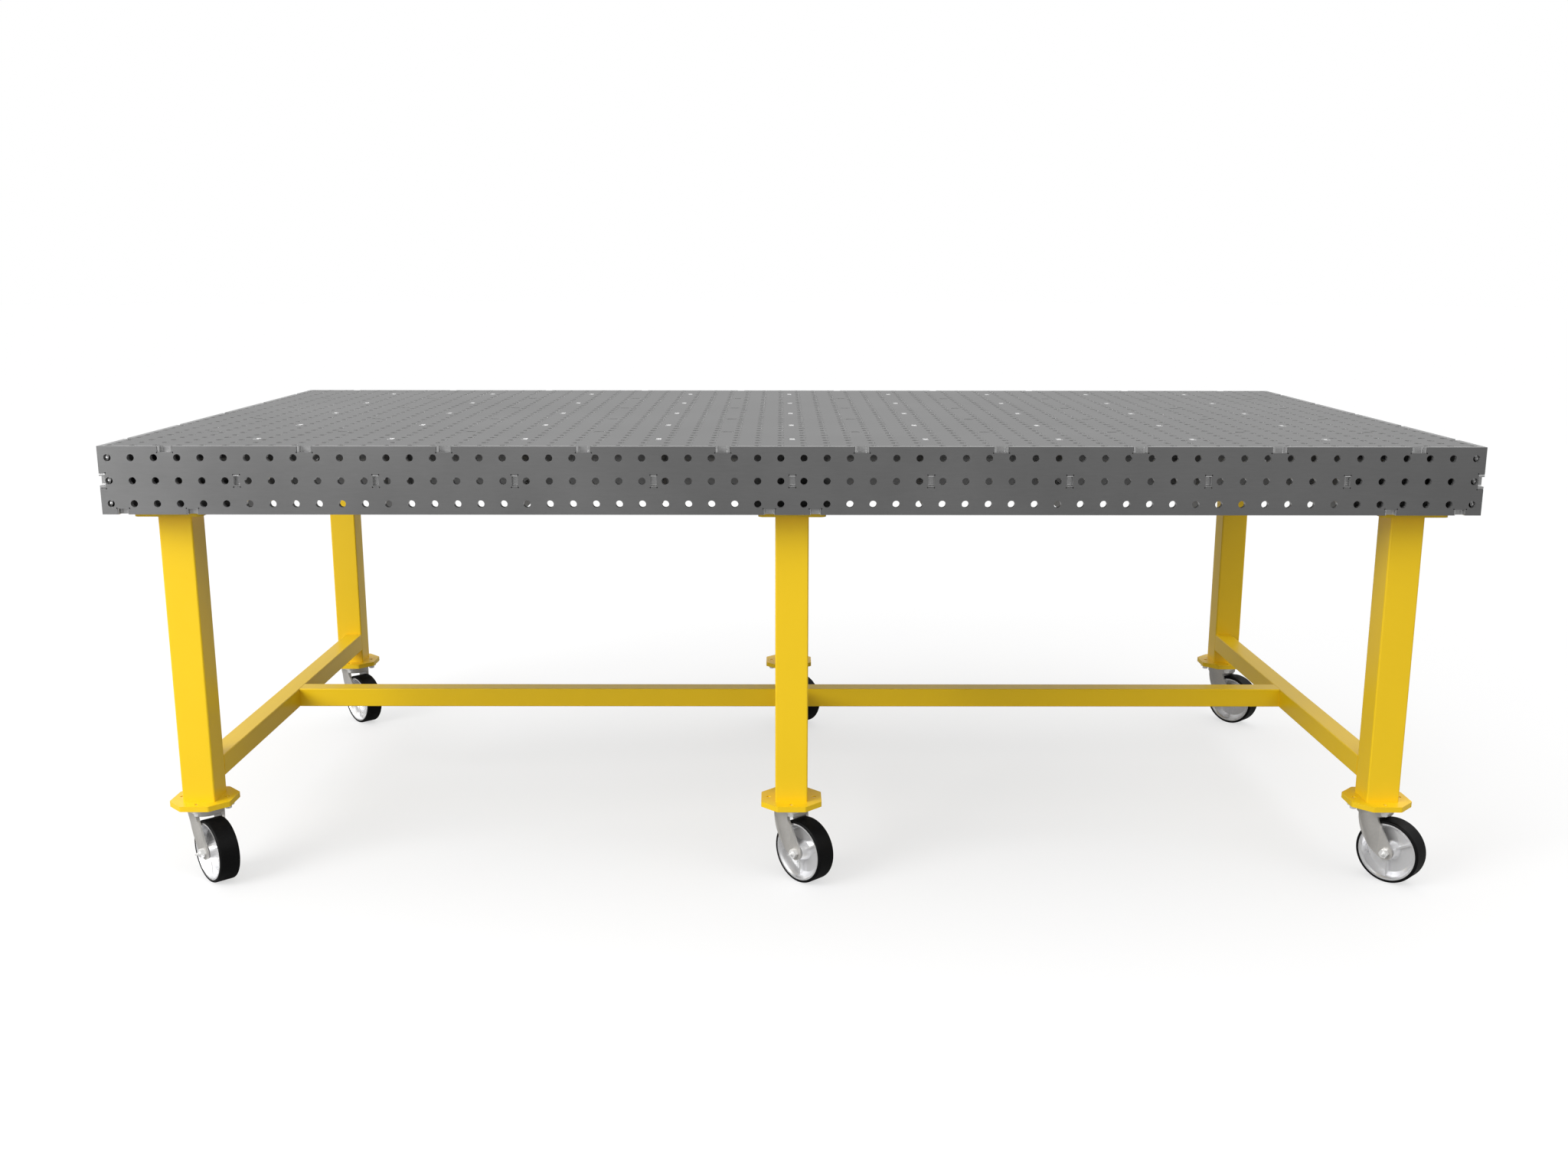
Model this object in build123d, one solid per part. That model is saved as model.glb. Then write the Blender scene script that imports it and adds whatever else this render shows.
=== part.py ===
from build123d import *

import os
from math import cos, radians, sin, sqrt

# Perforated welding table on six swivel casters. Millimetres, +Z up, the front faces -Y.
# The origin is on the floor, under the middle of the table top.

INCH = 25.4

# Table top and its hole grid
GRID = 2 * INCH  # hole pitch on the top and on the skirts
COLUMNS = 60  # holes along X
ROWS = 30  # holes along Y
HOLE_D = 5 / 8 * INCH
PLATE_T = 1 / 2 * INCH  # top, skirts, ribs and leg mount plates
EDGE_WEB = 0.56  # metal left between an outer hole and the plate behind it
SKIRT_H = 151.0  # top face down to the lower edge of the skirts
SKIRT_ROWS = 3
RIB_PITCH = 6  # in grid steps: ribs stand every 12 inches

# Tab and slot joints
TAB_W = 1.0 * INCH  # rib tabs and leg mount plate tabs
EDGE_TAB_W = 1.29 * INCH  # skirt tabs in the edge of the top, and the corner tabs
POCKET_W = 0.84 * INCH  # open pocket in every tab
POCKET_R = 3.0
FIT = 0.2  # clearance all round a tab in its slot
RELIEF_D = 3.0  # small hole at each inside corner of a slot
RELIEF_OUT = 0.9  # its centre lies this far outside the corner, both ways
HORN_R = 2.4  # rounding of the ends of a wide tab
WINDOW_L = 5.4 * INCH  # lightening window in each bay of a rib
WINDOW_H = 1.5 * INCH
WINDOW_R = 10.0
WINDOW_DOWN = 82.0  # top face down to the middle of a window

# Leg mount plates under the top
MOUNT_MIDDLE_W = 8 * INCH
MOUNT_CORNER_TABS = 3 * INCH  # tabs stand this far each side of a corner leg
MOUNT_MIDDLE_TABS = 2 * INCH

# Legs and stretchers
LEG_INSET = 4 * INCH  # leg axis to the outermost row of holes
LEG_W = 3 * INCH
LEG_WALL = 3 / 16 * INCH
LEG_R = 4.0
LEG_H = 713.0  # top of the flange to the underside of the foot plate
FLANGE_W = LEG_W + 3 * INCH
FLANGE_T = 1 / 2 * INCH
FLANGE_R = 13.0
FLANGE_BOLT = (LEG_W + FLANGE_W) / 4  # bolts midway between the tube and the flange's edge
FOOT_W = LEG_W + 2.625 * INCH
FOOT_CUT = 1.5 * INCH
FOOT_T = 1 / 2 * INCH
FOOT_R = 7.0
STRETCHER_W = 2 * INCH
STRETCHER_WALL = 1 / 8 * INCH
STRETCHER_R = 3.0
STRETCHER_UP = 53.0  # underside of the foot plate to the underside of a stretcher

# Bolts: shank diameter, head across flats, head height
LEG_BOLT = (12.0, 19.0, 8.0)
CASTER_BOLT = (9.5, 14.3, 9.0)
BOLT_CLEARANCE = 0.4  # on the radius
LEG_BOLT_SHY = 1.5  # leg bolt's end above the underside of the tapped flange
CASTER_BOLT_CIRCLE_R = 1.5 * INCH * sqrt(2)  # 3 by 3 inch pattern, turned by 45 degrees
CASTER_BOLT_SHY = 2.5  # bolt end below the foot plate's upper face

# Casters
CASTER_RISE = 31.6  # top of the wheel to the underside of the foot plate
CASTER_LEAD = 45.4  # swivel axis to wheel axle, level
CASTER_HEADING = -46.5  # degrees, the parked direction from swivel axis to axle
TOP_PLATE_W = 4 * INCH
TOP_PLATE_T = 6.35
TOP_PLATE_R = 10.0
RACE_RI, RACE_RO, RACE_H = 20.0, 35.0, 5.6
BALL_D = 6.35
BALLS = 16
BALL_GAP = 0.05
CROWN_R = 41.4
CROWN_RIM = 4.5
CROWN_T = 5.6
CROWN_EDGE_R = 2.2
KINGPIN_D = 16.0
KINGPIN_HEAD_R, KINGPIN_HEAD_H = 12.5, 6.5
KINGPIN_FIT = 0.02  # radial clearance of the kingpin in the fixed plate
FORK_GAP = 2.2  # side of the tread to the inner face of a fork leg
FORK_T = 5.0
FORK_BOSS_R = 18.0
FORK_REAR = 26.0  # trailing edge behind the swivel axis, at the crown
FORK_FRONT = 21.0  # leading edge ahead of the swivel axis, at the crown
FORK_BULGE_SHIFT = 19.0
RUN_FIT = 0.05  # radial clearance of a turning fit
SWIVEL_GAP = 0.4

# Wheel
WHEEL_R = 75.7
WHEEL_W = 48.4
TREAD_T = 6.6
TREAD_EDGE_R = 4.5
RIM_T = 4.0
WEB_T = 7.0
HUB_R, HUB_ROOT_R = 18.0, 25.0
HUB_PROUD = 0.4  # hub end beyond the side of the tread
HUB_BORE_R = 14.0
SPOKES = 3  # the first one stands straight down
SPOKE_T = 4.0
ROLLER_D = 5.4
ROLLERS = 12
AXLE_D = 12.7
AXLE_FIT = 0.1  # radial clearance of the axle in the fork
AXLE_HEAD_H = 8.0
AXLE_PROUD = 2.0  # axle's end beyond its nut
NUT_AF, NUT_H = 19.0, 10.5
FITTING_L = 9.0

# Worked out from the values above
CASTER_H = 2 * WHEEL_R + CASTER_RISE  # floor to the underside of the foot plate
FORK_IN = WHEEL_W / 2 + FORK_GAP
HUB_HALF = WHEEL_W / 2 + HUB_PROUD
LEG_X = (COLUMNS - 1) / 2 * GRID - LEG_INSET
LEG_Y = (ROWS - 1) / 2 * GRID - LEG_INSET
LEG_CLEAR = FLANGE_W / 2 + PLATE_T  # leg axis to the nearest rib beside it
MARGIN = PLATE_T + HOLE_D / 2 + EDGE_WEB
LENGTH = (COLUMNS - 1) * GRID + 2 * MARGIN
WIDTH = (ROWS - 1) * GRID + 2 * MARGIN
TOP_Z = CASTER_H + LEG_H + SKIRT_H
FOOT_Z = CASTER_H
IN_X = LENGTH / 2 - PLATE_T  # inner face of the end skirts
IN_Y = WIDTH / 2 - PLATE_T  # inner face of the front and back skirts
RIB_STEP = RIB_PITCH * GRID
ROW_DOWN = [GRID * (i + 0.5) for i in range(SKIRT_ROWS)]  # hole rows below the top face
MID_DOWN = ROW_DOWN[SKIRT_ROWS // 2]  # height of the rib and corner tabs
LAP_DOWN = (PLATE_T + SKIRT_H) / 2  # where the ribs lap each other


def spaced(step, limit, start=0.0):
    """Places at start, start + step and so on, up to limit, and their mirror images."""
    places = []
    place = start
    while place < limit:
        places += [place] if place == 0 else [-place, place]
        place += step
    return sorted(places)


HOLE_X = [GRID * (i - (COLUMNS - 1) / 2) for i in range(COLUMNS)]
HOLE_Y = [GRID * (i - (ROWS - 1) / 2) for i in range(ROWS)]
CROSS_X = spaced(RIB_STEP, LEG_X - LEG_CLEAR)  # cross ribs, which run along Y
LONG_Y = spaced(RIB_STEP, LEG_Y - LEG_CLEAR, RIB_STEP / 2)  # long ribs, which run along X
BAY_X = spaced(RIB_STEP, IN_X - GRID, RIB_STEP / 2)  # between the cross ribs
BAY_Y = spaced(RIB_STEP, IN_Y - GRID)  # between the long ribs
LEGS = {
    f"{depth}_{side}": (x, y)
    for depth, y in (("front", -LEG_Y), ("back", LEG_Y))
    for side, x in (("left", -LEG_X), ("middle", 0.0), ("right", LEG_X))
}


# Flat work: each plate is drawn in its own plane and then extruded


def at(x, y, shape):
    return Pos(x, y) * shape


def slot(length, width, turned=False):
    """Slot for a tab, with a small relief hole at each corner."""
    half_l, half_w = length / 2 + FIT, width / 2 + FIT
    shape = Rectangle(2 * half_l, 2 * half_w)
    for sx in (-1, 1):
        for sy in (-1, 1):
            shape += at(sx * (half_l + RELIEF_OUT), sy * (half_w + RELIEF_OUT), Circle(RELIEF_D / 2))
    return Rot(0, 0, 90) * shape if turned else shape


def notch(width, depth):
    """Notch for a tab, open at y = 0 and cut down into the plate, with its two relief holes."""
    half, deep = width / 2 + FIT, depth + FIT
    shape = at(0, 0, Rectangle(2 * half, 2 * deep))
    for side in (-1, 1):
        shape += at(side * (half + RELIEF_OUT), -deep - RELIEF_OUT, Circle(RELIEF_D / 2))
    return shape


def tab(width, depth):
    """Tab that stands up from y = 0, with an open pocket in its end."""
    pocket = Rectangle(POCKET_W, 2 * depth)
    pocket = at(0, depth, fillet(pocket.vertices(), POCKET_R))
    shape = at(0, depth / 2, Rectangle(width, depth))
    rounding = min(HORN_R, 0.45 * (width - POCKET_W))
    shape = fillet(shape.vertices().group_by(Axis.Y)[-1], rounding)
    return shape - at(0, POCKET_R / 4, pocket)


def rounded(width, height, radius):
    return fillet(Rectangle(width, height).vertices(), radius)


def plate(outline, thickness, holes=(), openings=()):
    """Outline with round holes (x, y, radius) and ready drawn openings, extruded along +Z."""
    face = outline.faces().sort_by(SortBy.AREA)[-1]
    inner = list(face.inner_wires())
    inner += [opening.faces()[0].outer_wire() for opening in openings]
    inner += [Wire.make_circle(r, Plane((x, y, 0))) for x, y, r in holes]
    return extrude(Face(face.outer_wire(), inner), amount=thickness, dir=(0, 0, 1))


def stand(shape, origin, across, facing):
    """Turns a flat drawing upright: its x runs along across, its +Z along facing."""
    return Plane(origin=origin, x_dir=across, z_dir=facing).location * shape


def make_top_plate(side):
    """Half of the top: drawn for +X from the seam over the middle rib, and mirrored for -X."""
    outline = at(IN_X / 2, 0, Rectangle(IN_X, 2 * IN_Y))
    for end in (-1, 1):
        for x in BAY_X:
            if x > 0:
                outline += at(x, end * IN_Y, Rot(0, 0, 0 if end > 0 else 180) * tab(EDGE_TAB_W, PLATE_T))
    for y in BAY_Y:
        outline += at(IN_X, y, Rot(0, 0, -90) * tab(EDGE_TAB_W, PLATE_T))
        outline -= at(0, y, slot(TAB_W, PLATE_T, True))
    openings = [at(x, y, slot(TAB_W, PLATE_T, True)) for x in CROSS_X for y in BAY_Y if x > 0]
    openings += [at(x, y, slot(TAB_W, PLATE_T)) for x in BAY_X for y in LONG_Y if x > 0]
    holes = [(x, y, HOLE_D / 2) for x in HOLE_X for y in HOLE_Y if x > 0]
    body = plate(outline, PLATE_T, holes, openings)
    return Pos(0, 0, TOP_Z - PLATE_T) * (body if side > 0 else mirror(body, Plane.YZ))


def skirt(length, columns, top_notches, slot_places, low_notches, end_notches):
    """Skirt in its own plane, with y = 0 at the top face of the table."""
    outline = at(0, -SKIRT_H / 2, Rectangle(length, SKIRT_H))
    for x in top_notches:
        outline -= at(x, 0, notch(EDGE_TAB_W, PLATE_T))
    for x in low_notches:
        outline -= at(x, -SKIRT_H, Rot(0, 0, 180) * notch(TAB_W, PLATE_T))
    for side in (-1, 1):
        turned = Rot(0, 0, -90 * side)
        if end_notches:
            outline -= at(side * length / 2, -MID_DOWN, turned * notch(EDGE_TAB_W, PLATE_T))
        else:
            outline += at(side * length / 2, -MID_DOWN, turned * tab(EDGE_TAB_W, PLATE_T))
    holes = [(x, -down, HOLE_D / 2) for x in columns for down in ROW_DOWN]
    openings = [at(x, -MID_DOWN, slot(TAB_W, PLATE_T, True)) for x in slot_places]
    return plate(outline, PLATE_T, holes, openings)


def mount_tabs_x():
    """Tabs of the leg mount plates along the front and back skirts."""
    corner = [LEG_X - MOUNT_CORNER_TABS, LEG_X + MOUNT_CORNER_TABS]
    return [-x for x in corner] + [-MOUNT_MIDDLE_TABS, MOUNT_MIDDLE_TABS] + corner


def mount_tabs_y():
    """Tabs of the leg mount plates along the end skirts."""
    return [side * (LEG_Y + off) for side in (-1, 1) for off in (-MOUNT_CORNER_TABS, MOUNT_CORNER_TABS)]


def make_long_skirt(side):
    flat = skirt(LENGTH, HOLE_X, BAY_X, CROSS_X, mount_tabs_x(), True)
    return stand(flat, (0, side * IN_Y, TOP_Z), (-side, 0, 0), (0, side, 0))


def make_end_skirt(side):
    flat = skirt(2 * IN_Y, HOLE_Y, BAY_Y, LONG_Y, mount_tabs_y(), False)
    return stand(flat, (side * IN_X, 0, TOP_Z), (0, side, 0), (side, 0, 0))


def rib(length, tab_places, lap_places, laps_up, windows, seats=()):
    """Rib in its own plane, between the skirts, with y = 0 at the top face of the table."""
    height = SKIRT_H - PLATE_T
    outline = at(0, -PLATE_T - height / 2, Rectangle(length, height))
    for x in tab_places:
        outline += at(x, -PLATE_T, tab(TAB_W, PLATE_T))
    for side in (-1, 1):
        outline += at(side * length / 2, -MID_DOWN, Rot(0, 0, -90 * side) * tab(TAB_W, PLATE_T))
    lap_h = height / 2 + FIT
    lap_y = (-PLATE_T - height + lap_h / 2) if not laps_up else (-PLATE_T - lap_h / 2)
    for x in lap_places:
        outline -= at(x, lap_y, Rectangle(PLATE_T + 2 * FIT, lap_h))
    for x, width in seats:
        outline -= at(x, -SKIRT_H + PLATE_T / 2, Rectangle(width, PLATE_T))
    openings = [at(x, -WINDOW_DOWN, rounded(WINDOW_L, WINDOW_H, WINDOW_R)) for x in windows]
    return plate(outline, PLATE_T, (), openings)


def make_cross_rib(x, seats=()):
    flat = rib(2 * IN_Y, BAY_Y, LONG_Y, False, BAY_Y, seats)
    return stand(flat, (x - PLATE_T / 2, 0, TOP_Z), (0, 1, 0), (1, 0, 0))


def make_long_rib(y):
    flat = rib(2 * IN_X, BAY_X, CROSS_X, True, BAY_X)
    return stand(flat, (0, y + PLATE_T / 2, TOP_Z), (1, 0, 0), (0, -1, 0))


def mount_cell(x, y):
    """Low and high corners, in X and Y, of the mount plate over the leg at x, y."""
    rib_y = max(place for place in LONG_Y if place < abs(y)) + PLATE_T / 2
    if x == 0:
        low_x, high_x = -MOUNT_MIDDLE_W / 2, MOUNT_MIDDLE_W / 2
    else:
        low_x = max(place for place in CROSS_X if place < abs(x)) + PLATE_T / 2
        high_x = IN_X
    return low_x, high_x, rib_y, IN_Y


def make_mount_plate(x, y):
    """Plate between skirt and ribs, drawn for +X and +Y and then mirrored into place."""
    low_x, high_x, low_y, high_y = mount_cell(x, y)
    outline = at((low_x + high_x) / 2, (low_y + high_y) / 2, Rectangle(high_x - low_x, high_y - low_y))
    offs = MOUNT_MIDDLE_TABS if x == 0 else MOUNT_CORNER_TABS
    for off in (-offs, offs):
        outline += at(abs(x) + off, high_y, tab(TAB_W, PLATE_T))
        if x:
            outline += at(high_x, abs(y) + off, Rot(0, 0, -90) * tab(TAB_W, PLATE_T))
    radius = LEG_BOLT[0] / 2 + BOLT_CLEARANCE
    holes = [(abs(x) + i * FLANGE_BOLT, abs(y) + j * FLANGE_BOLT, radius) for i in (-1, 1) for j in (-1, 1)]
    body = plate(outline, PLATE_T, holes)
    if x < 0:
        body = mirror(body, Plane.YZ)
    if y < 0:
        body = mirror(body, Plane.XZ)
    return Pos(0, 0, TOP_Z - SKIRT_H) * body


# Legs


def square_tube(width, wall, radius, length):
    """Square tube along +Z from z = 0."""
    section = rounded(width, width, radius) - rounded(width - 2 * wall, width - 2 * wall, radius / 2)
    return extrude(section, amount=length)


def make_leg_tube(x, y):
    length = LEG_H - FLANGE_T - FOOT_T
    return Pos(x, y, FOOT_Z + FOOT_T) * square_tube(LEG_W, LEG_WALL, LEG_R, length)


def corners(reach):
    return [(i * reach, j * reach) for i in (-1, 1) for j in (-1, 1)]


def make_flange(x, y):
    radius = LEG_BOLT[0] / 2 + FIT
    holes = [(i, j, radius) for i, j in corners(FLANGE_BOLT)]
    body = plate(rounded(FLANGE_W, FLANGE_W, FLANGE_R), FLANGE_T, holes)
    return Pos(x, y, FOOT_Z + LEG_H - FLANGE_T) * body


def axis_points(radius):
    return [(radius, 0), (0, radius), (-radius, 0), (0, -radius)]


def make_foot_plate(x, y):
    outline = fillet(chamfer(Rectangle(FOOT_W, FOOT_W).vertices(), FOOT_CUT).vertices(), FOOT_R)
    radius = CASTER_BOLT[0] / 2 + BOLT_CLEARANCE
    holes = [(i, j, radius) for i, j in axis_points(CASTER_BOLT_CIRCLE_R)]
    return Pos(x, y, FOOT_Z) * plate(outline, FOOT_T, holes)


def stretcher_x(x):
    """Middle line of the cross stretcher between the two legs at x: flush inside the end legs."""
    inset = (LEG_W - STRETCHER_W) / 2
    return x - inset if x > 0 else x + inset if x < 0 else 0.0


def make_cross_stretcher(x):
    tube = square_tube(STRETCHER_W, STRETCHER_WALL, STRETCHER_R, 2 * LEG_Y - LEG_W)
    tube = Pos(0, LEG_Y - LEG_W / 2, 0) * Rot(90, 0, 0) * tube
    return Pos(stretcher_x(x), 0, FOOT_Z + STRETCHER_UP + STRETCHER_W / 2) * tube


def make_long_stretcher(side):
    start = STRETCHER_W / 2
    length = abs(stretcher_x(LEG_X)) - STRETCHER_W / 2 - start
    tube = Rot(0, 90, 0) * square_tube(STRETCHER_W, STRETCHER_WALL, STRETCHER_R, length)
    low = start if side > 0 else -start - length
    return Pos(low, 0, FOOT_Z + STRETCHER_UP + STRETCHER_W / 2) * tube


def hex_bolt(size, length):
    """Bolt with its head below z = 0 and its shank up to z = length."""
    shank, flats, head_h = size
    head = extrude(RegularPolygon(flats / 2, 6, major_radius=False), amount=-head_h)
    head &= Pos(0, 0, -head_h) * Cone(
        flats / 2, flats / 2 + 2 * head_h, 2 * head_h, align=(Align.CENTER, Align.CENTER, Align.MIN)
    )
    end = 0.8
    body = Cylinder(shank / 2, length - end, align=(Align.CENTER, Align.CENTER, Align.MIN))
    tip = Pos(0, 0, length - end) * Cone(
        shank / 2, shank / 2 - end, end, align=(Align.CENTER, Align.CENTER, Align.MIN)
    )
    return head + body + tip


def leg_bolts(x, y):
    """Bolts with their heads on top of the mount plate, screwed down into the flange."""
    length = PLATE_T + FLANGE_T - LEG_BOLT_SHY
    bolt = Pos(x, y, FOOT_Z + LEG_H + PLATE_T) * Rot(180, 0, 0) * hex_bolt(LEG_BOLT, length)
    return [at(i, j, bolt) for i, j in corners(FLANGE_BOLT)]


def caster_bolts(x, y):
    head_z = FOOT_Z - TOP_PLATE_T
    length = TOP_PLATE_T + FOOT_T - CASTER_BOLT_SHY
    places = axis_points(CASTER_BOLT_CIRCLE_R)
    return [Pos(x + i, y + j, head_z) * hex_bolt(CASTER_BOLT, length) for i, j in places]


# Casters: drawn about the swivel axis, z = 0 at the foot plate, x towards the axle, y along it

RACE_Z = -TOP_PLATE_T - RACE_H  # lower face of the fixed race
CROWN_TOP_Z = RACE_Z - BALL_D - 2 * BALL_GAP
CROWN_Z = CROWN_TOP_Z - CROWN_T
AXLE_Z = WHEEL_R - CASTER_H
BALL_RING_R = (RACE_RI + RACE_RO) / 2
UP = (Align.CENTER, Align.CENTER, Align.MIN)


def ring(outer, inner, height):
    return Cylinder(outer, height, align=UP) - Cylinder(inner, height, align=UP)


def make_caster_plate():
    outline = Rot(0, 0, 45) * rounded(TOP_PLATE_W, TOP_PLATE_W, TOP_PLATE_R)
    radius = CASTER_BOLT[0] / 2 + BOLT_CLEARANCE
    holes = [(i, j, radius) for i, j in axis_points(CASTER_BOLT_CIRCLE_R)]
    holes.append((0, 0, KINGPIN_D / 2 + KINGPIN_FIT))
    return Pos(0, 0, -TOP_PLATE_T) * plate(outline, TOP_PLATE_T, holes) + Pos(0, 0, RACE_Z) * ring(
        RACE_RO, RACE_RI, RACE_H
    )


def make_kingpin():
    head_top = CROWN_Z - SWIVEL_GAP
    head = Pos(0, 0, head_top - KINGPIN_HEAD_H) * Cylinder(KINGPIN_HEAD_R, KINGPIN_HEAD_H, align=UP)
    head = chamfer(head.edges().group_by(Axis.Z)[0], 1.2)
    return head + Pos(0, 0, head_top) * Cylinder(KINGPIN_D / 2, -head_top, align=UP)


def make_balls():
    z = RACE_Z - BALL_GAP - BALL_D / 2
    turns = [radians(360 * i / BALLS) for i in range(BALLS)]
    return [Pos(BALL_RING_R * cos(a), BALL_RING_R * sin(a), z) * Sphere(BALL_D / 2) for a in turns]


def fork_outline():
    """Side view of a fork leg, in the X and Z of the caster, from the crown to the axle boss."""
    top_z = CROWN_TOP_Z
    eye = (CASTER_LEAD, AXLE_Z)
    rear_top = (-FORK_REAR, top_z)
    front_top = (FORK_FRONT, top_z)
    rear_low = (eye[0] - 0.45 * FORK_BOSS_R, eye[1] - 0.89 * FORK_BOSS_R)
    front_low = (eye[0] + 0.78 * FORK_BOSS_R, eye[1] + 0.62 * FORK_BOSS_R)
    middle = (rear_top[0] + 0.22 * (rear_low[0] - rear_top[0]), rear_top[1] + 0.55 * (rear_low[1] - top_z))
    edge = Edge.make_three_point_arc(rear_top + (0,), middle + (0,), rear_low + (0,))
    rest = Polyline(rear_low, eye, front_low, (FORK_FRONT + 3, CROWN_Z - 10), front_top, rear_top)
    return make_face([edge] + rest.edges()) + at(*eye, Circle(FORK_BOSS_R))


def make_fork():
    outside = FORK_IN + FORK_T
    outline = Rot(90, 0, 0) * fork_outline()
    crown = Pos(0, 0, CROWN_Z) * Cylinder(CROWN_R, RACE_Z - CROWN_Z + RACE_H / 2, align=UP)
    crown = fillet(crown.edges().group_by(Axis.Z)[0], CROWN_EDGE_R)
    bulge = loft(
        [
            Plane((0, 0, CROWN_Z + CROWN_EDGE_R)) * Circle(CROWN_R),
            Plane((FORK_BULGE_SHIFT, 0, AXLE_Z - FORK_BOSS_R / 2)) * Circle(outside),
        ],
        ruled=True,
    )
    prism = extrude(outline, amount=CROWN_R, both=True)
    legs = []
    for side in (-1, 1):
        flat = extrude(Pos(0, side * (FORK_IN + FORK_T / 2), 0) * outline, amount=FORK_T / 2, both=True)
        band = Pos(0, side * (FORK_IN + FORK_T / 2 + CROWN_R / 2), 0) * Box(4 * CROWN_R, CROWN_R, 4 * CASTER_H)
        legs.append(flat + (bulge & prism & band))
    fork = crown + legs[0] + legs[1]
    fork -= Pos(0, 0, CROWN_TOP_Z) * Cylinder(CROWN_R - CROWN_RIM, CASTER_H, align=UP)
    fork -= Cylinder(KINGPIN_D / 2 + RUN_FIT, 2 * CASTER_H)
    eye = Rot(90, 0, 0) * Cylinder(AXLE_D / 2 + AXLE_FIT, 4 * CROWN_R)
    return fork - Pos(CASTER_LEAD, 0, AXLE_Z) * eye


def along_axle(shape):
    """Puts a shape drawn along Z onto the axle: its +Z points to the caster's -Y."""
    return Pos(CASTER_LEAD, 0, AXLE_Z) * Rot(90, 0, 0) * shape


def make_axle_set():
    """Axle bolt with its grease fitting, its nut, and the bushing clamped between the fork legs."""
    outside = FORK_IN + FORK_T
    end = 2 * outside + NUT_H + AXLE_PROUD
    bolt = hex_bolt((AXLE_D, NUT_AF, AXLE_HEAD_H), end)
    fitting = Pos(0, 0, end) * (
        Cylinder(3.6, FITTING_L / 2, align=UP)
        + Pos(0, 0, FITTING_L / 2) * Cone(2.4, 1.3, FITTING_L / 2, align=UP)
    )
    nut = extrude(RegularPolygon(NUT_AF / 2, 6, major_radius=False), amount=NUT_H)
    nut -= Cylinder(AXLE_D / 2 + RUN_FIT, 4 * NUT_H)
    bushing_r = HUB_BORE_R - ROLLER_D - 2 * RUN_FIT
    bushing = Pos(0, 0, -FORK_IN) * ring(bushing_r, AXLE_D / 2 + RUN_FIT, 2 * FORK_IN)
    pieces = [Pos(0, 0, -outside) * (bolt + fitting), Pos(0, 0, outside) * nut, bushing]
    return [along_axle(piece) for piece in pieces]


def make_core():
    """Cast wheel centre: dished rim, web, tapered hub and thin ribs on both faces."""
    rim_r = WHEEL_R - TREAD_T
    half, web = WHEEL_W / 2, WEB_T / 2
    dish_r = rim_r - RIM_T
    section = make_face(
        Polyline(
            (0, HUB_HALF),
            (HUB_R, HUB_HALF),
            (HUB_ROOT_R, web),
            (dish_r - 12, web),
            (dish_r - 3, half - 5),
            (dish_r, half - 1),
            (rim_r, half - 1),
            (rim_r, -half + 1),
            (dish_r, -half + 1),
            (dish_r - 3, -half + 5),
            (dish_r - 12, -web),
            (HUB_ROOT_R, -web),
            (HUB_R, -HUB_HALF),
            (0, -HUB_HALF),
            (0, HUB_HALF),
        )
    )
    core = revolve(Rot(90, 0, 0) * section, Axis.Z)
    for i in range(SPOKES):
        reach = dish_r - HUB_R + 4
        spoke = Pos(HUB_R - 2 + reach / 2, 0, 0) * Box(reach, SPOKE_T, 2 * (half - 9))
        core += Rot(0, 0, 360 / SPOKES * i - 90) * spoke
    core -= Cylinder(HUB_BORE_R, 4 * HUB_HALF)
    return along_axle(core)


def make_tread():
    outer = Cylinder(WHEEL_R, WHEEL_W)
    outer = fillet(outer.edges().filter_by(GeomType.CIRCLE), TREAD_EDGE_R)
    return along_axle(outer - Cylinder(WHEEL_R - TREAD_T, 2 * WHEEL_W))


def make_rollers():
    pitch_r = HUB_BORE_R - RUN_FIT - ROLLER_D / 2
    turns = [radians(360 * i / ROLLERS) for i in range(ROLLERS)]
    length = 2 * HUB_HALF - 6
    return [along_axle(Pos(pitch_r * cos(a), pitch_r * sin(a)) * Cylinder(ROLLER_D / 2, length)) for a in turns]


def placed(shape, x, y, heading=CASTER_HEADING):
    return Pos(x, y, FOOT_Z) * Rot(0, 0, heading) * shape


def save(name, shapes):
    shapes = shapes if isinstance(shapes, list) else [shapes]
    solids = [solid for shape in shapes for solid in shape.solids()]
    export_step(solids[0] if len(solids) == 1 else Compound(children=solids), f"parts/{name}.step")


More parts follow.
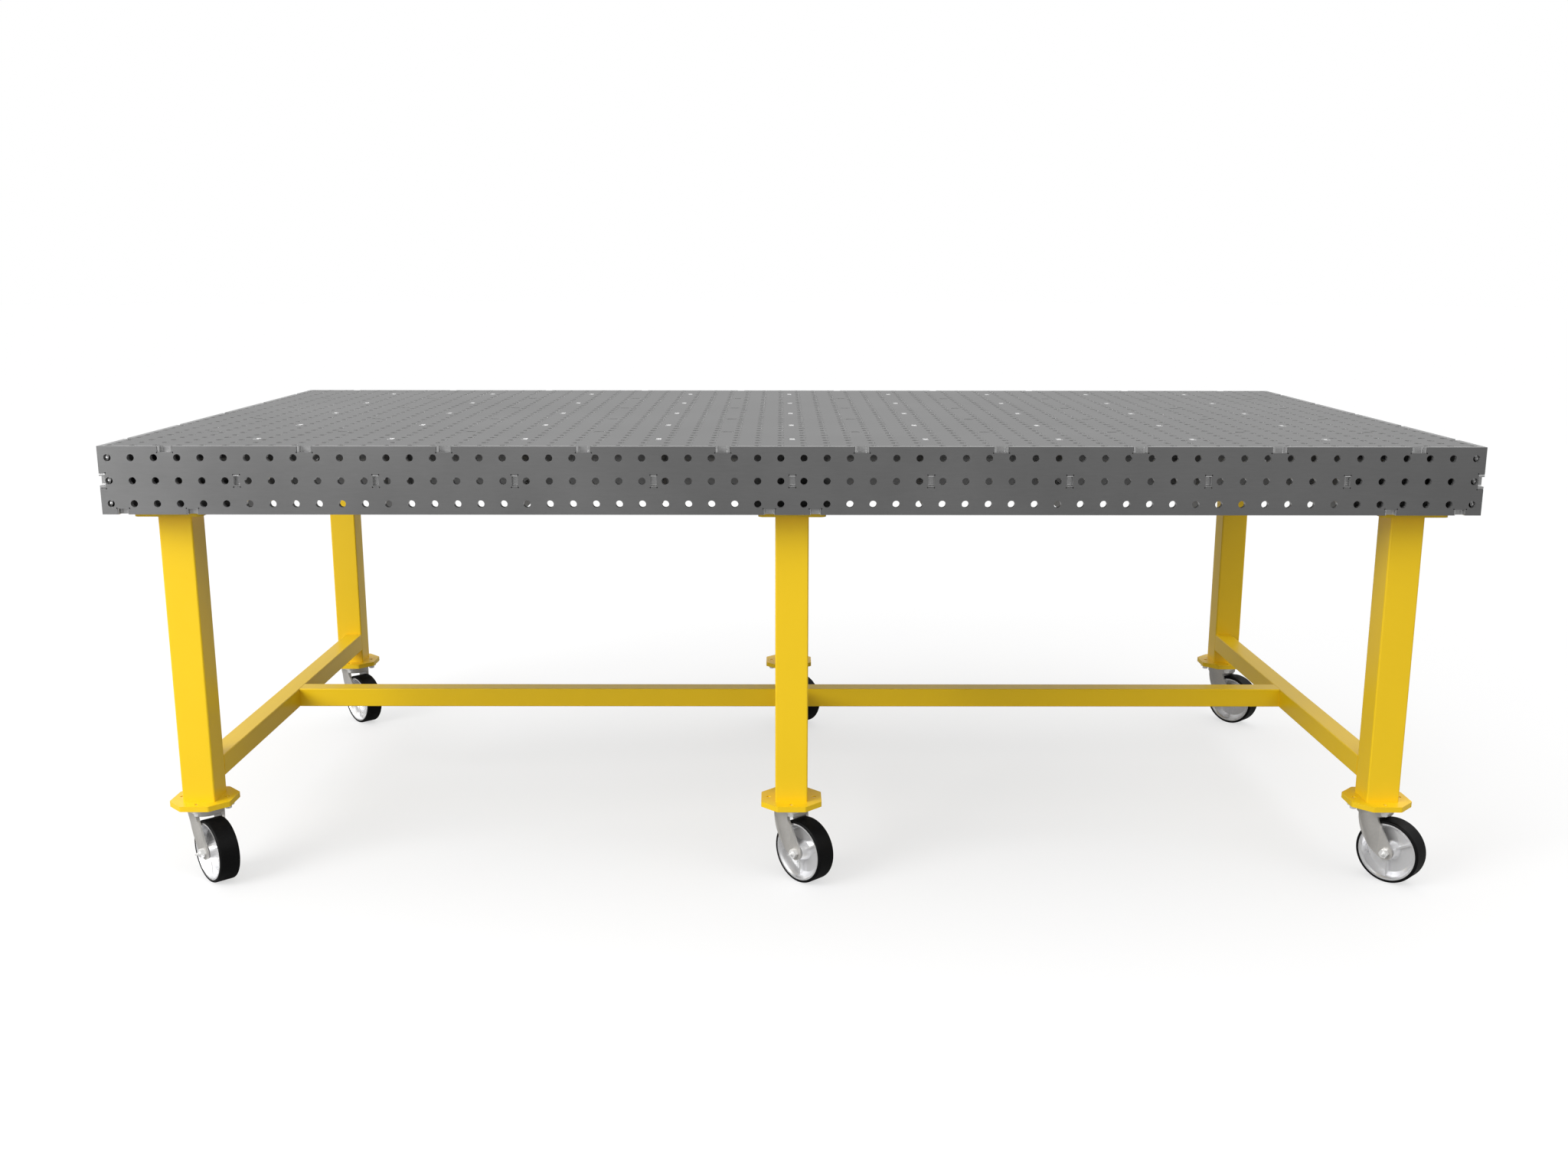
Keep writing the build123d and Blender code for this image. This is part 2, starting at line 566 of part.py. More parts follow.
def main():
    os.makedirs("parts", exist_ok=True)
    save("top_plate_left", make_top_plate(-1))
    save("top_plate_right", make_top_plate(1))
    save("front_skirt", make_long_skirt(-1))
    save("back_skirt", make_long_skirt(1))
    save("left_skirt", make_end_skirt(-1))
    save("right_skirt", make_end_skirt(1))
    seat = 2 * (IN_Y - mount_cell(0, LEG_Y)[2])
    save("cross_ribs", [make_cross_rib(x) for x in CROSS_X if x])
    save("middle_cross_rib", make_cross_rib(0, [(-IN_Y, seat), (IN_Y, seat)]))
    save("long_ribs", [make_long_rib(y) for y in LONG_Y])
    save("leg_mount_plates", [make_mount_plate(x, y) for x, y in LEGS.values()])
    save("leg_flanges", [make_flange(x, y) for x, y in LEGS.values()])
    save("foot_plates", [make_foot_plate(x, y) for x, y in LEGS.values()])
    for side, x in (("left", -LEG_X), ("middle", 0.0), ("right", LEG_X)):
        save(f"cross_stretcher_{side}", make_cross_stretcher(x))
    save("long_stretcher_left", make_long_stretcher(-1))
    save("long_stretcher_right", make_long_stretcher(1))
    save("leg_bolts", [bolt for x, y in LEGS.values() for bolt in leg_bolts(x, y)])
    save("caster_bolts", [bolt for x, y in LEGS.values() for bolt in caster_bolts(x, y)])
    plate_shape, kingpin, balls = make_caster_plate(), make_kingpin(), make_balls()
    save("caster_plates", [placed(plate_shape, x, y, 0) for x, y in LEGS.values()])
    save("kingpins", [placed(kingpin, x, y) for x, y in LEGS.values()])
    save("swivel_balls", [placed(ball, x, y) for x, y in LEGS.values() for ball in balls])
    turning = {
        "fork": make_fork(),
        "axle": make_axle_set(),
        "wheel_core": make_core(),
        "tread": make_tread(),
        "rollers": make_rollers(),
    }
    for place, (x, y) in LEGS.items():
        save(f"leg_{place}", make_leg_tube(x, y))
        for name, shape in turning.items():
            shapes = shape if isinstance(shape, list) else [shape]
            save(f"{name}_{place}", [placed(each, x, y) for each in shapes])


main()
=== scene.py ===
"""Perforated welding table on casters: finishes for every piece, the stage, and the panel that lists them."""

import math

import bpy
from mathutils import Matrix, Vector


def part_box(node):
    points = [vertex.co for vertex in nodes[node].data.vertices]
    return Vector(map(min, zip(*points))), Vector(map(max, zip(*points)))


bl_info = {
    "name": "Welding table",
    "version": (1, 0, 0),
    "blender": (4, 5, 0),
    "location": "3D View > Sidebar > Welding table",
    "description": "Finishes the pieces of a perforated welding table and sets its stage",
    "category": "Object",
}

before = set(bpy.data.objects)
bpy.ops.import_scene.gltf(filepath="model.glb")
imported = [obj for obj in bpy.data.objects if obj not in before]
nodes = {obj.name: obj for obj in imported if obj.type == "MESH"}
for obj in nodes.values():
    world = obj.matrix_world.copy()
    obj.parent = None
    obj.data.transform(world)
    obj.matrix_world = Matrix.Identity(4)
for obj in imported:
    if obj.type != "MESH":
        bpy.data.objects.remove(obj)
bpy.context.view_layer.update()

ROUGHNESS_SWING = 0.08  # how far the roughness of plate and paint wanders
PLATING_SWING = 0.1
FLAT_FACE = 0.9  # the least cosine between a flat face's normal and its plate's normal
FLOOR_REACH, FLOOR_SIDES = 60.0, 48
NODE_STEP, ROW_STEP, NODE_ROWS = 190, 170, 3  # spacing of nodes in the editor
LEGS = ("front_left", "front_middle", "front_right", "back_left", "back_middle", "back_right")


# Settings


def colour(name, description, default):
    return bpy.props.FloatVectorProperty(
        name=name, description=description, default=default, size=3, min=0.0, max=1.0, subtype="COLOR"
    )


def share(name, description, default, most=1.0):
    return bpy.props.FloatProperty(
        name=name, description=description, default=default, min=0.0, max=most, subtype="FACTOR"
    )


def grain_size(name, description, default):
    return bpy.props.FloatProperty(
        name=name, description=description, default=default, min=0.0001, max=2.0,
        subtype="DISTANCE", unit="LENGTH",
    )


class PlateSettings(bpy.types.PropertyGroup):
    face: colour("Plate face", "Mill finish of the flat faces", (0.238, 0.238, 0.238))
    cut: colour("Cut edge", "Bare metal of cut edges and hole walls", (0.46, 0.46, 0.46))
    # Painted highlight: near-white colour and low metal for the cross ribs' tab ends above the top's
    # underside, standing in for light falling on them
    ground: colour("Ground tab", "Ends of the cross ribs' tabs, ground with the top", (0.93, 0.93, 0.93))
    cut_metal: share("Cut metal", "How metallic the cut edges look", 0.72)
    painted_highlight_metal: share("Painted highlight metal", "How metallic the ground tabs look", 0.2)
    face_roughness: share("Face roughness", "Roughness of the flat faces", 0.42)
    cut_roughness: share("Cut roughness", "Roughness of the cut edges", 0.26)
    grain: grain_size("Rolling grain", "Width of the rolling grain", 0.004)
    mottle: grain_size("Mottle", "Size of the soft cloudy tone", 0.35)


class PaintSettings(bpy.types.PropertyGroup):
    yellow: colour("Yellow", "Powder coat of the stand", (0.88, 0.575, 0.005))
    roughness: share("Roughness", "Roughness of the powder coat", 0.38)
    coat: share("Coat", "Strength of the clear gloss over the colour", 0.12)
    peel: grain_size("Orange peel", "Size of the dimples in the powder coat", 0.0025)


class CasterSettings(bpy.types.PropertyGroup):
    zinc: colour("Zinc plate", "Plating of forks and caster plates", (0.55, 0.535, 0.51))
    mounting: colour("Mounting plate", "Plating of the caster plates and kingpins", (0.82, 0.81, 0.79))
    fastener: colour("Fasteners", "Plating of bolts, axles and nuts", (0.85, 0.85, 0.84))
    casting: colour("Wheel centre", "Polished casting of the wheel centres", (0.90, 0.90, 0.91))
    bearing: colour("Bearing steel", "Ground balls and rollers", (0.60, 0.60, 0.61))
    tread: colour("Tread", "Black tyre compound", (0.003, 0.003, 0.0032))
    spangle: grain_size("Spangle", "Size of the crystals in the plating", 0.006)


class StageSettings(bpy.types.PropertyGroup):
    floor: colour("Floor", "Pale floor", (0.32, 0.32, 0.32))
    floor_glow: share("Floor glow", "Paleness added to the floor where it is seen", 0.62, 4.0)
    sky: share("Sky", "Strength of the soft light from above", 1.38, 4.0)
    horizon: share("Horizon", "Strength of the soft light from the sides", 0.27, 4.0)
    key_power: bpy.props.FloatProperty(
        name="Key light", description="Power of the large soft light", default=300.0, min=0.0,
        subtype="POWER", unit="POWER",
    )
    camera_place: bpy.props.FloatVectorProperty(
        name="Camera place", description="Where the camera stands", default=(-0.02507, -4.00037, 1.43092),
        size=3, subtype="TRANSLATION", unit="LENGTH",
    )
    camera_pitch: bpy.props.FloatProperty(
        name="Camera pitch", description="Tilt above the horizon", default=math.radians(-12.175),
        subtype="ANGLE", unit="ROTATION",
    )
    camera_yaw: bpy.props.FloatProperty(
        name="Camera heading", description="Turn to the left of straight ahead", default=math.radians(-0.121),
        subtype="ANGLE", unit="ROTATION",
    )
    camera_roll: bpy.props.FloatProperty(
        name="Camera roll", description="Lean about the line of sight", default=math.radians(-0.067),
        subtype="ANGLE", unit="ROTATION",
    )
    camera_lens: bpy.props.FloatProperty(
        name="Lens", description="Focal length", default=34.17, min=1.0,
        subtype="DISTANCE_CAMERA", unit="CAMERA",
    )


# Node helpers


class Net:
    """Short way to write a node tree."""

    def __init__(self, tree):
        self.tree = tree
        self.place = 0

    def node(self, kind, values=None, **settings):
        made = self.tree.nodes.new(kind)
        made.location = (self.place * NODE_STEP, -(self.place % NODE_ROWS) * ROW_STEP)
        self.place += 1
        for name, value in settings.items():
            setattr(made, name, value)
        for socket, value in (values or {}).items():
            if isinstance(value, bpy.types.NodeSocket):
                self.tree.links.new(value, made.inputs[socket])
            else:
                made.inputs[socket].default_value = value
        return made

    def math(self, operation, *values):
        return self.node("ShaderNodeMath", dict(enumerate(values)), operation=operation).outputs[0]

    def wander(self, value, swing, middle):
        """A value that swings about its middle by a mask centred on 0.5."""
        return self.math("ADD", middle, self.math("MULTIPLY", self.math("SUBTRACT", value, 0.5), swing))

    def noise(self, vector, scale, detail=2.0, roughness=0.5):
        values = {"Vector": vector, "Scale": scale, "Detail": detail, "Roughness": roughness}
        return self.node("ShaderNodeTexNoise", values).outputs["Fac"]

    def stretch(self, vector, by):
        made = self.node("ShaderNodeVectorMath", {0: vector, 1: by}, operation="MULTIPLY")
        return made.outputs[0]

    def blend(self, factor, first, second):
        made = self.node("ShaderNodeMix", data_type="RGBA", blend_type="MIX")
        for socket, value in zip((made.inputs[0], made.inputs[6], made.inputs[7]), (factor, first, second)):
            if isinstance(value, bpy.types.NodeSocket):
                self.tree.links.new(value, socket)
            else:
                socket.default_value = value
        return made.outputs[2]

    def ramp(self, value, low, high, new_low=0.0, new_high=1.0):
        values = {"Value": value, "From Min": low, "From Max": high, "To Min": new_low, "To Max": new_high}
        return self.node("ShaderNodeMapRange", values).outputs[0]


def rgba(value):
    return (value[0], value[1], value[2], 1.0)


def group(name, inputs, outputs):
    """New shader node group with its named sockets; gives the net, its inputs and its output node."""
    tree = bpy.data.node_groups.new(name, "ShaderNodeTree")
    for label, kind, default in inputs:
        socket = tree.interface.new_socket(label, in_out="INPUT", socket_type=kind)
        socket.default_value = default
    for label, kind in outputs:
        tree.interface.new_socket(label, in_out="OUTPUT", socket_type=kind)
    net = Net(tree)
    start, end = net.node("NodeGroupInput"), net.node("NodeGroupOutput")
    return net, start.outputs, end.inputs


def placed_group(net, name, **values):
    values = {label.replace("_", " "): value for label, value in values.items()}
    made = net.node("ShaderNodeGroup", node_tree=bpy.data.node_groups[name])
    for label, value in values.items():
        if isinstance(value, bpy.types.NodeSocket):
            net.tree.links.new(value, made.inputs[label])
        else:
            made.inputs[label].default_value = value
    return made.outputs


def build_cut_mask():
    """1 on the cut edges and hole walls of a plate, 0 on its flat faces."""
    net, given, out = group(
        "Cut mask", [("Plate Normal", "NodeSocketVector", (0, 0, 1))], [("Mask", "NodeSocketFloat")]
    )
    normal = net.node("ShaderNodeNewGeometry").outputs["True Normal"]
    turn = net.node("ShaderNodeVectorMath", {0: normal, 1: given["Plate Normal"]}, operation="DOT_PRODUCT")
    flat = net.math("ABSOLUTE", turn.outputs["Value"])
    net.tree.links.new(net.math("LESS_THAN", flat, FLAT_FACE), out["Mask"])


def build_surface_grain():
    """Fine directional grain over a soft cloudy tone, both centred on 0.5."""
    net, given, out = group(
        "Surface grain",
        [
            ("Grain Size", "NodeSocketFloat", 0.004),
            ("Stretch", "NodeSocketVector", (1, 1, 1)),
            ("Mottle Size", "NodeSocketFloat", 0.3),
        ],
        [("Grain", "NodeSocketFloat"), ("Mottle", "NodeSocketFloat"), ("Specks", "NodeSocketFloat")],
    )
    place = net.node("ShaderNodeTexCoord").outputs["Object"]
    grain_scale = net.math("DIVIDE", 1.0, given["Grain Size"])
    grain = net.noise(net.stretch(place, given["Stretch"]), grain_scale, detail=3.0, roughness=0.6)
    mottle_scale = net.math("DIVIDE", 1.0, given["Mottle Size"])
    mottle = net.noise(place, mottle_scale, detail=4.0, roughness=0.55)
    speck_scale = net.math("MULTIPLY", grain_scale, 0.6)
    specks = net.noise(place, speck_scale, detail=1.0, roughness=0.4)
    net.tree.links.new(net.ramp(grain, 0.25, 0.75), out["Grain"])
    net.tree.links.new(net.ramp(mottle, 0.3, 0.7), out["Mottle"])
    net.tree.links.new(net.ramp(specks, 0.66, 0.74), out["Specks"])


def build_tone():
    """Lightens and darkens a colour by a value centred on 0.5."""
    net, given, out = group(
        "Tone",
        [
            ("Color", "NodeSocketColor", (0.5, 0.5, 0.5, 1)),
            ("Value", "NodeSocketFloat", 0.5),
            ("Amount", "NodeSocketFloat", 0.1),
        ],
        [("Color", "NodeSocketColor")],
    )
    gain = net.wander(given["Value"], given["Amount"], 1.0)
    made = net.node("ShaderNodeVectorMath", {0: given["Color"]}, operation="SCALE")
    net.tree.links.new(gain, made.inputs["Scale"])
    net.tree.links.new(made.outputs[0], out["Color"])


def material(name):
    """Empty node material: its net and its Principled shader."""
    made = bpy.data.materials.new(name)
    made.use_nodes = True
    made.node_tree.nodes.clear()
    net = Net(made.node_tree)
    shader = net.node("ShaderNodeBsdfPrincipled")
    end = net.node("ShaderNodeOutputMaterial")
    net.tree.links.new(shader.outputs[0], end.inputs["Surface"])
    return made, net, shader


def bump(net, shader, height, strength, distance):
    made = net.node("ShaderNodeBump", {"Strength": strength, "Distance": distance, "Height": height})
    net.tree.links.new(made.outputs[0], shader.inputs["Normal"])


def make_plate_steel(name, plate_normal, stretch, highlight_above):
    """Rolled steel plate. Cut faces above the given height, if any, get a painted highlight: near-white, as
    if lit, while the lower ones keep the cut colour.
    """
    settings = bpy.context.scene.table_plate
    made, net, shader = material(name)
    mask = placed_group(net, "Cut mask", Plate_Normal=plate_normal)["Mask"]
    sizes = {"Grain_Size": settings.grain, "Mottle_Size": settings.mottle}
    grain = placed_group(net, "Surface grain", Stretch=stretch, **sizes)
    face = placed_group(net, "Tone", Color=rgba(settings.face), Value=grain["Grain"], Amount=0.06)["Color"]
    face = placed_group(net, "Tone", Color=face, Value=grain["Mottle"], Amount=0.07)["Color"]
    cut = placed_group(net, "Tone", Color=rgba(settings.cut), Value=grain["Grain"], Amount=0.3)["Color"]
    metal = net.ramp(mask, 0.0, 1.0, 1.0, settings.cut_metal)
    # Painted highlight: cut faces above the top's underside (the tab ends) turn near-white as if lit; the
    # same faces in the skirt pockets below keep the cut colour, as if in shade
    if highlight_above is not None:
        place = net.node("ShaderNodeTexCoord").outputs["Object"]
        height = net.node("ShaderNodeSeparateXYZ", {0: place}).outputs[2]
        tab = net.math("GREATER_THAN", height, highlight_above)
        cut = net.blend(tab, cut, rgba(settings.ground))
        metal = net.ramp(tab, 0.0, 1.0, metal, settings.painted_highlight_metal)
    net.tree.links.new(net.blend(mask, face, cut), shader.inputs["Base Color"])
    net.tree.links.new(metal, shader.inputs["Metallic"])
    rough = net.ramp(mask, 0.0, 1.0, settings.face_roughness, settings.cut_roughness)
    net.tree.links.new(net.wander(grain["Mottle"], ROUGHNESS_SWING, rough), shader.inputs["Roughness"])
    bump(net, shader, grain["Grain"], strength=0.12, distance=0.0003)
    return made


def make_powder_coat():
    settings = bpy.context.scene.table_paint
    made, net, shader = material("Yellow powder coat")
    grain = placed_group(net, "Surface grain", Grain_Size=settings.peel, Stretch=(1, 1, 1), Mottle_Size=0.5)
    tone = placed_group(net, "Tone", Color=rgba(settings.yellow), Value=grain["Mottle"], Amount=0.05)["Color"]
    net.tree.links.new(tone, shader.inputs["Base Color"])
    rough = net.wander(grain["Mottle"], ROUGHNESS_SWING, settings.roughness)
    net.tree.links.new(rough, shader.inputs["Roughness"])
    shader.inputs["Coat Weight"].default_value = settings.coat
    shader.inputs["Coat Roughness"].default_value = 0.2
    shader.inputs["Specular IOR Level"].default_value = 0.4
    bump(net, shader, grain["Grain"], strength=0.1, distance=0.0002)
    return made


def make_plated(name, base, roughness, spangle, amount, metallic):
    made, net, shader = material(name)
    grain = placed_group(net, "Surface grain", Grain_Size=spangle, Stretch=(1, 1, 1), Mottle_Size=0.05)
    tone = placed_group(net, "Tone", Color=rgba(base), Value=grain["Grain"], Amount=amount)["Color"]
    tone = placed_group(net, "Tone", Color=tone, Value=grain["Mottle"], Amount=amount)["Color"]
    net.tree.links.new(tone, shader.inputs["Base Color"])
    rough = net.wander(grain["Mottle"], PLATING_SWING, roughness)
    net.tree.links.new(rough, shader.inputs["Roughness"])
    shader.inputs["Metallic"].default_value = metallic
    bump(net, shader, grain["Grain"], strength=0.08, distance=0.0002)
    return made


def make_tread():
    settings = bpy.context.scene.table_caster
    made, net, shader = material("Black tread")
    grain = placed_group(net, "Surface grain", Grain_Size=0.0022, Stretch=(1, 1, 1), Mottle_Size=0.04)
    tone = placed_group(net, "Tone", Color=rgba(settings.tread), Value=grain["Mottle"], Amount=0.5)["Color"]
    dusty = net.blend(net.math("MULTIPLY", grain["Specks"], 0.1), tone, (0.06, 0.058, 0.055, 1))
    net.tree.links.new(dusty, shader.inputs["Base Color"])
    rough = net.ramp(grain["Mottle"], 0.0, 1.0, 0.42, 0.56)
    net.tree.links.new(rough, shader.inputs["Roughness"])
    shader.inputs["Specular IOR Level"].default_value = 0.12
    bump(net, shader, grain["Grain"], strength=0.25, distance=0.0003)
    return made


def finish_of(name, maker, *values):
    """The named material, made once."""
    return bpy.data.materials.get(name) or maker(*values)


def plate_steel(plate_normal, highlight_above=None):
    label, stretch = {
        (0, 0, 1): ("Plate steel, level", (0.12, 1, 1)),
        (0, 1, 0): ("Plate steel, facing front", (0.12, 1, 1)),
        (1, 0, 0): ("Plate steel, facing the ends", (1, 0.12, 1)),
    }[plate_normal]
    # This material carries the painted highlight on the tab ends
    if highlight_above is not None:
        label += ", ground tabs"
    return finish_of(label, make_plate_steel, label, plate_normal, stretch, highlight_above)


def powder_coat():
    return finish_of("Yellow powder coat", make_powder_coat)


def plated(name, base, roughness, spangle, amount, metallic=0.85):
    """Metal plating: its roughness, crystal size, how much its tone varies and how metallic it looks."""
    return finish_of(name, make_plated, name, base, roughness, spangle, amount, metallic)


def plated_fasteners():
    base = bpy.context.scene.table_caster.fastener
    return plated("Plated fasteners", base, roughness=0.25, spangle=0.003, amount=0.06, metallic=0.35)


def dress(names, made):
    """Gives CAD pieces their material."""
    for name in names:
        piece = nodes[name]
        if not piece.material_slots:
            raise RuntimeError(f"{name} has no material slot")
        for held in piece.material_slots:
            held.material = made


# Pieces


class TABLE_OT_shared_effects(bpy.types.Operator):
    """Build the node groups that the finishes share"""

    bl_idname = "table.shared_effects"
    bl_label = "Shared effects"

    def execute(self, context):
        build_cut_mask()
        build_surface_grain()
        build_tone()
        return {"FINISHED"}


class TABLE_OT_top_plate(bpy.types.Operator):
    """Finish the perforated top plate"""

    bl_idname = "table.top_plate"
    bl_label = "Top plate"

    def execute(self, context):
        dress(["top_plate_left", "top_plate_right"], plate_steel((0, 0, 1)))
        return {"FINISHED"}


class TABLE_OT_skirts(bpy.types.Operator):
    """Finish the four perforated side plates"""

    bl_idname = "table.skirts"
    bl_label = "Skirts"

    def execute(self, context):
        dress(["front_skirt", "back_skirt"], plate_steel((0, 1, 0)))
        dress(["left_skirt", "right_skirt"], plate_steel((1, 0, 0)))
        return {"FINISHED"}


class TABLE_OT_ribs(bpy.types.Operator):
    """Finish the ribs under the top"""

    bl_idname = "table.ribs"
    bl_label = "Ribs"

    def execute(self, context):
        top_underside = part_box("top_plate_left")[0][2]
        # The cross ribs' tab ends above the top plate's underside get the painted highlight
        dress(["cross_ribs", "middle_cross_rib"], plate_steel((1, 0, 0), top_underside))
        dress(["long_ribs"], plate_steel((0, 1, 0)))
        return {"FINISHED"}


class TABLE_OT_leg_mount_plates(bpy.types.Operator):
    """Finish the plates that the legs are bolted to"""

    bl_idname = "table.leg_mount_plates"
    bl_label = "Leg mount plates"

    def execute(self, context):
        dress(["leg_mount_plates"], plate_steel((0, 0, 1)))
        return {"FINISHED"}


class TABLE_OT_legs(bpy.types.Operator):
    """Finish the legs with their flanges and foot plates"""

    bl_idname = "table.legs"
    bl_label = "Legs"

    def execute(self, context):
        dress([f"leg_{place}" for place in LEGS] + ["leg_flanges", "foot_plates"], powder_coat())
        return {"FINISHED"}


class TABLE_OT_stretchers(bpy.types.Operator):
    """Finish the tubes between the legs"""

    bl_idname = "table.stretchers"
    bl_label = "Stretchers"

    def execute(self, context):
        names = [name for name in nodes if "stretcher" in name]
        dress(names, powder_coat())
        return {"FINISHED"}


class TABLE_OT_bolts(bpy.types.Operator):
    """Finish the bolts of the legs and casters"""

    bl_idname = "table.bolts"
    bl_label = "Bolts"

    def execute(self, context):
        dress(["leg_bolts", "caster_bolts"], plated_fasteners())
        return {"FINISHED"}


class TABLE_OT_caster_plates(bpy.types.Operator):
    """Finish the caster plates and kingpins"""

    bl_idname = "table.caster_plates"
    bl_label = "Caster plates"

    def execute(self, context):
        settings = context.scene.table_caster
        look = {"roughness": 0.3, "spangle": settings.spangle, "amount": 0.06, "metallic": 0.5}
        dress(["caster_plates", "kingpins"], plated("Bright zinc", settings.mounting, **look))
        return {"FINISHED"}


class TABLE_OT_bearings(bpy.types.Operator):
    """Finish the swivel balls and hub rollers"""

    bl_idname = "table.bearings"
    bl_label = "Bearings"

    def execute(self, context):
        base = context.scene.table_caster.bearing
        names = ["swivel_balls"] + [f"rollers_{place}" for place in LEGS]
        dress(names, plated("Bearing steel", base, roughness=0.14, spangle=0.003, amount=0.04))
        return {"FINISHED"}


class TABLE_OT_forks(bpy.types.Operator):
    """Finish the swivelling forks"""

    bl_idname = "table.forks"
    bl_label = "Forks"

    def execute(self, context):
        settings = context.scene.table_caster
        names = [f"fork_{place}" for place in LEGS]
        look = {"roughness": 0.4, "spangle": settings.spangle, "amount": 0.08, "metallic": 0.6}
        dress(names, plated("Zinc plate", settings.zinc, **look))
        return {"FINISHED"}


class TABLE_OT_axles(bpy.types.Operator):
    """Finish the axle bolts, nuts and bushings"""

    bl_idname = "table.axles"
    bl_label = "Axles"

    def execute(self, context):
        dress([f"axle_{place}" for place in LEGS], plated_fasteners())
        return {"FINISHED"}


class TABLE_OT_wheel_cores(bpy.types.Operator):
    """Finish the polished wheel centres"""

    bl_idname = "table.wheel_cores"
    bl_label = "Wheel centres"

    def execute(self, context):
        base = context.scene.table_caster.casting
        names = [f"wheel_core_{place}" for place in LEGS]
        look = {"roughness": 0.24, "spangle": 0.004, "amount": 0.04, "metallic": 0.75}
        dress(names, plated("Polished casting", base, **look))
        return {"FINISHED"}


class TABLE_OT_treads(bpy.types.Operator):
    """Finish the black treads"""

    bl_idname = "table.treads"
    bl_label = "Treads"

    def execute(self, context):
        dress([f"tread_{place}" for place in LEGS], finish_of("Black tread", make_tread))
        return {"FINISHED"}


class TABLE_OT_stage(bpy.types.Operator):
    """Set the floor, the soft light and the camera"""

    bl_idname = "table.stage"
    bl_label = "Stage"

    def execute(self, context):
        settings = context.scene.table_stage
        make_floor(settings)
        make_sky(settings)
        make_lights(settings)
        make_camera(settings)
        context.scene.view_settings.view_transform = "Standard"
        return {"FINISHED"}


def make_floor(settings):
    """Round floor with a rim that is far outside the view."""
    mesh = bpy.data.meshes.new("floor")
    turns = [2 * math.pi * i / FLOOR_SIDES for i in range(FLOOR_SIDES)]
    rim = [(FLOOR_REACH * math.cos(turn), FLOOR_REACH * math.sin(turn), 0) for turn in turns]
    mesh.from_pydata(rim, [], [list(range(FLOOR_SIDES))])
    floor = bpy.data.objects.new("floor", mesh)
    bpy.context.scene.collection.objects.link(floor)
    made, net, shader = material("Pale floor")
    shader.inputs["Base Color"].default_value = rgba(settings.floor)
    shader.inputs["Roughness"].default_value = 0.9
    shader.inputs["Specular IOR Level"].default_value = 0.1
    shader.inputs["Emission Color"].default_value = (1, 1, 1, 1)
    seen = net.node("ShaderNodeLightPath").outputs["Is Camera Ray"]
    net.tree.links.new(net.math("MULTIPLY", seen, settings.floor_glow), shader.inputs["Emission Strength"])
    mesh.materials.append(made)


def make_sky(settings):
    """White behind everything, with light that is strongest from above."""
    world = bpy.data.worlds.new("Studio sky")
    bpy.context.scene.world = world
    world.use_nodes = True
    world.node_tree.nodes.clear()
    net = Net(world.node_tree)
    way = net.node("ShaderNodeTexCoord").outputs["Generated"]
    height = net.node("ShaderNodeSeparateXYZ", {0: way}).outputs[2]
    strength = net.ramp(height, 0.0, 0.8, settings.horizon, settings.sky)
    soft = net.node("ShaderNodeBackground", {"Color": (1, 1, 1, 1), "Strength": strength})
    seen = net.node("ShaderNodeBackground", {"Color": (1, 1, 1, 1), "Strength": 1.0})
    to_camera = net.node("ShaderNodeLightPath").outputs["Is Camera Ray"]
    both = net.node("ShaderNodeMixShader", {0: to_camera, 1: soft.outputs[0], 2: seen.outputs[0]})
    end = net.node("ShaderNodeOutputWorld")
    net.tree.links.new(both.outputs[0], end.inputs[0])


def make_lights(settings):
    lights = (
        ("key", (-5.0, -4.2, 3.2), (0.0, 0.0, 0.5), 4.0, 1.0),
        ("fill", (4.5, -3.5, 4.5), (0.0, 0.0, 0.6), 4.0, 0.1),
    )
    for name, place, target, size, part in lights:
        lamp = bpy.data.lights.new(name, "AREA")
        lamp.shape, lamp.size = "DISK", size
        lamp.energy = settings.key_power * part
        made = bpy.data.objects.new(name, lamp)
        bpy.context.scene.collection.objects.link(made)
        made.location = place
        made.rotation_euler = (Vector(target) - Vector(place)).to_track_quat("-Z", "Y").to_euler()


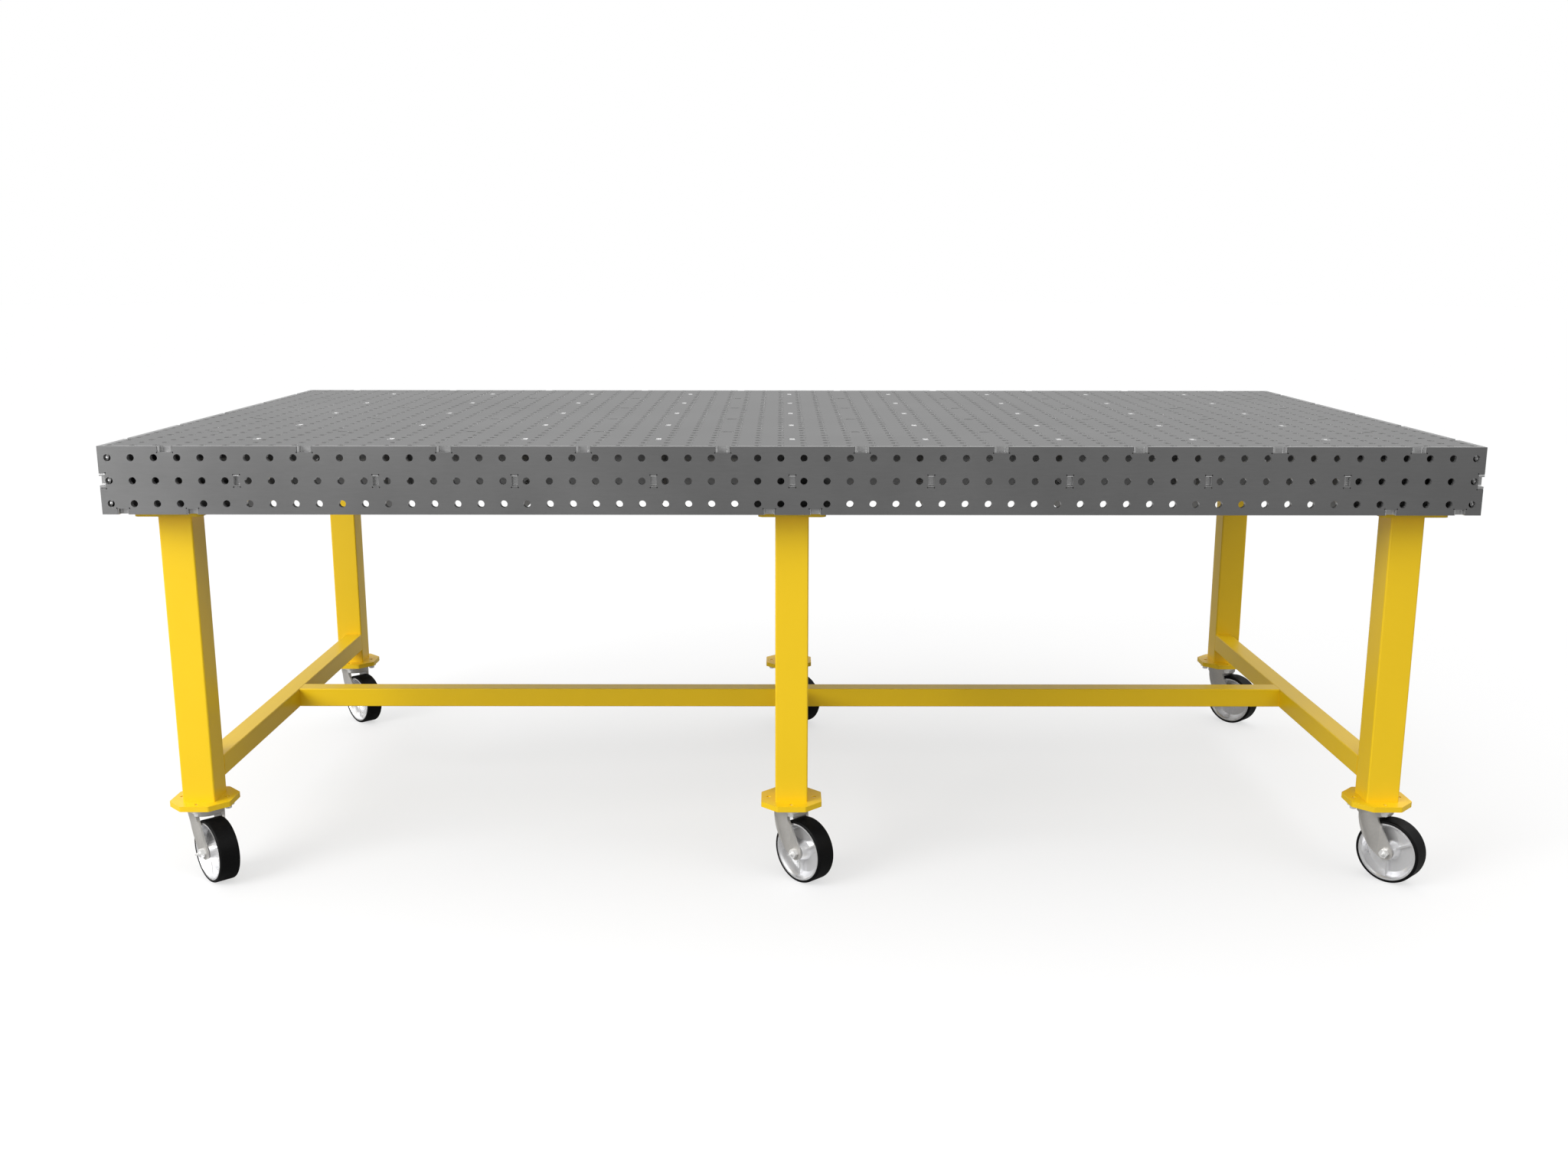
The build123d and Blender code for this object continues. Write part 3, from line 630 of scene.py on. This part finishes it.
def make_camera(settings):
    view = bpy.data.cameras.new("camera")
    view.sensor_fit, view.sensor_width = "HORIZONTAL", 36.0
    view.lens = settings.camera_lens
    view.clip_start, view.clip_end = 0.05, 200.0
    made = bpy.data.objects.new("camera", view)
    bpy.context.scene.collection.objects.link(made)
    turn = (
        Matrix.Rotation(settings.camera_yaw, 4, "Z")
        @ Matrix.Rotation(settings.camera_pitch, 4, "X")
        @ Matrix.Rotation(settings.camera_roll, 4, "Y")
        @ Matrix.Rotation(math.radians(90), 4, "X")
    )
    made.matrix_world = Matrix.Translation(settings.camera_place) @ turn
    bpy.context.scene.camera = made


PIECES = (
    TABLE_OT_shared_effects,
    TABLE_OT_top_plate,
    TABLE_OT_skirts,
    TABLE_OT_ribs,
    TABLE_OT_leg_mount_plates,
    TABLE_OT_legs,
    TABLE_OT_stretchers,
    TABLE_OT_bolts,
    TABLE_OT_caster_plates,
    TABLE_OT_bearings,
    TABLE_OT_forks,
    TABLE_OT_axles,
    TABLE_OT_wheel_cores,
    TABLE_OT_treads,
    TABLE_OT_stage,
)
SETTINGS = {
    "table_plate": PlateSettings,
    "table_paint": PaintSettings,
    "table_caster": CasterSettings,
    "table_stage": StageSettings,
}


class TABLE_PT_pieces(bpy.types.Panel):
    """Lists the pieces of the welding table and their settings"""

    bl_idname = "TABLE_PT_pieces"
    bl_label = "Welding table"
    bl_space_type = "VIEW_3D"
    bl_region_type = "UI"
    bl_category = "Welding table"

    def draw(self, context):
        column = self.layout.column(align=True)
        for piece in PIECES:
            column.operator(piece.bl_idname)
        for name, kind in SETTINGS.items():
            box = self.layout.box()
            for label in kind.__annotations__:
                box.prop(getattr(context.scene, name), label)


def register():
    for kind in (*SETTINGS.values(), *PIECES, TABLE_PT_pieces):
        bpy.utils.register_class(kind)
    for name, kind in SETTINGS.items():
        setattr(bpy.types.Scene, name, bpy.props.PointerProperty(type=kind))


def unregister():
    for name in SETTINGS:
        delattr(bpy.types.Scene, name)
    for kind in reversed((*SETTINGS.values(), *PIECES, TABLE_PT_pieces)):
        bpy.utils.unregister_class(kind)


def main():
    register()
    for piece in PIECES:
        getattr(bpy.ops.table, piece.bl_idname.split(".")[1])()


if __name__ == "__main__":
    main()
